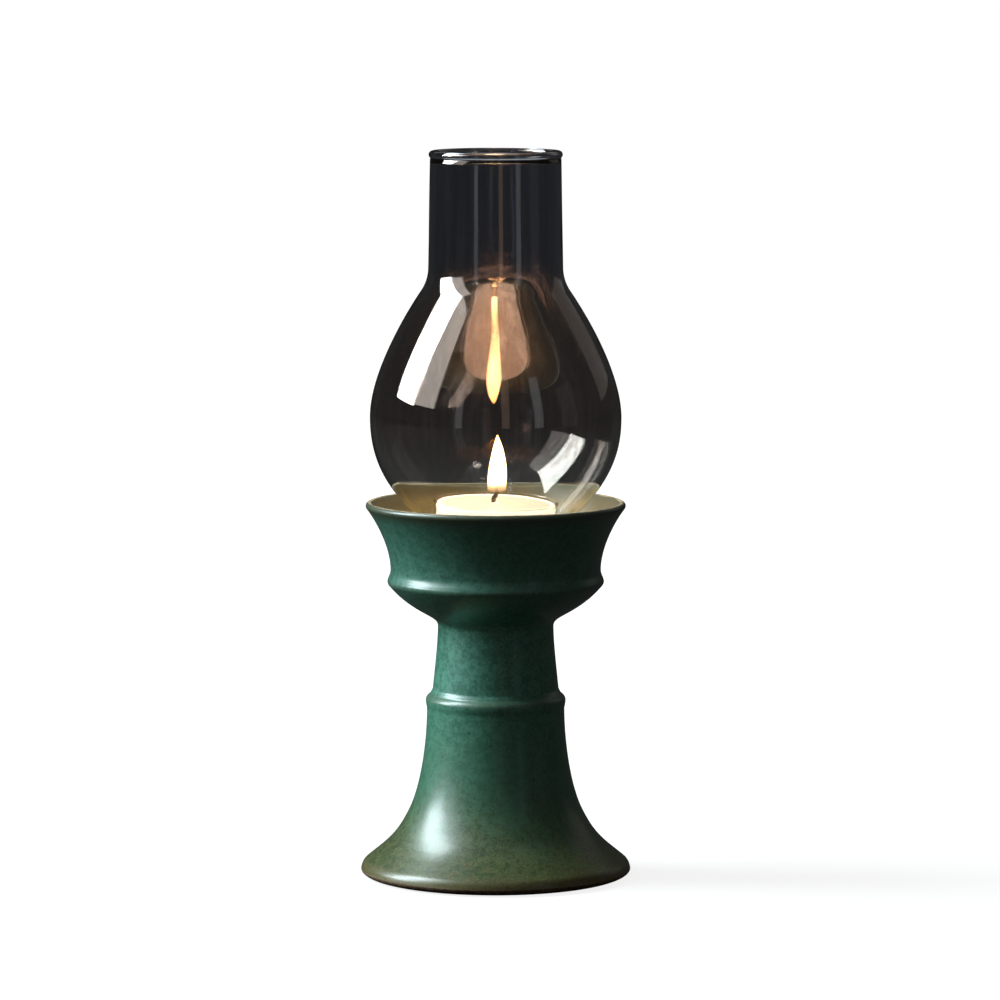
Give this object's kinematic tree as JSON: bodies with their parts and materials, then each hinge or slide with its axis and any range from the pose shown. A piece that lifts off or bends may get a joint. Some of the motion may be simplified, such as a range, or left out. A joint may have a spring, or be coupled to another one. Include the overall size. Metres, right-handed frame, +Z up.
{
  "type": "candle lantern",
  "caption": "Table candle lantern: hollow glazed stoneware stand with a flared bowl, lift-off smoked glass chimney and a lit tealight.",
  "frame": {"origin": "on the lantern's axis, at the level of the surface it stands on", "axes": "+Z up along the axis of every piece; -Y is the side seen in the picture and +X is to its right"},
  "size_m": [0.0816, 0.0816, 0.2197],
  "materials": {
    "glaze": "satin",
    "smoked_glass": "gloss",
    "clear_cup": "gloss",
    "wax": "satin",
    "wick": "matt",
    "tab_steel": "satin"
  },
  "bodies": {
    "stand": {"stand": "glaze"},
    "chimney": {"chimney": "smoked_glass"},
    "candle": {"candle_cup": "clear_cup", "wax": "wax", "wick": "wick", "wick_tab": "tab_steel"}
  },
  "joints": [
    {"name": "chimney_lift", "type": "slide", "parent": "stand", "child": "chimney", "axis": [0, 0, 1], "range_m": [0, 0.08]},
    {"name": "candle_lift", "type": "slide", "parent": "stand", "child": "candle", "axis": [0, 0, 1], "range_m": [0, 0.05]}
  ]
}
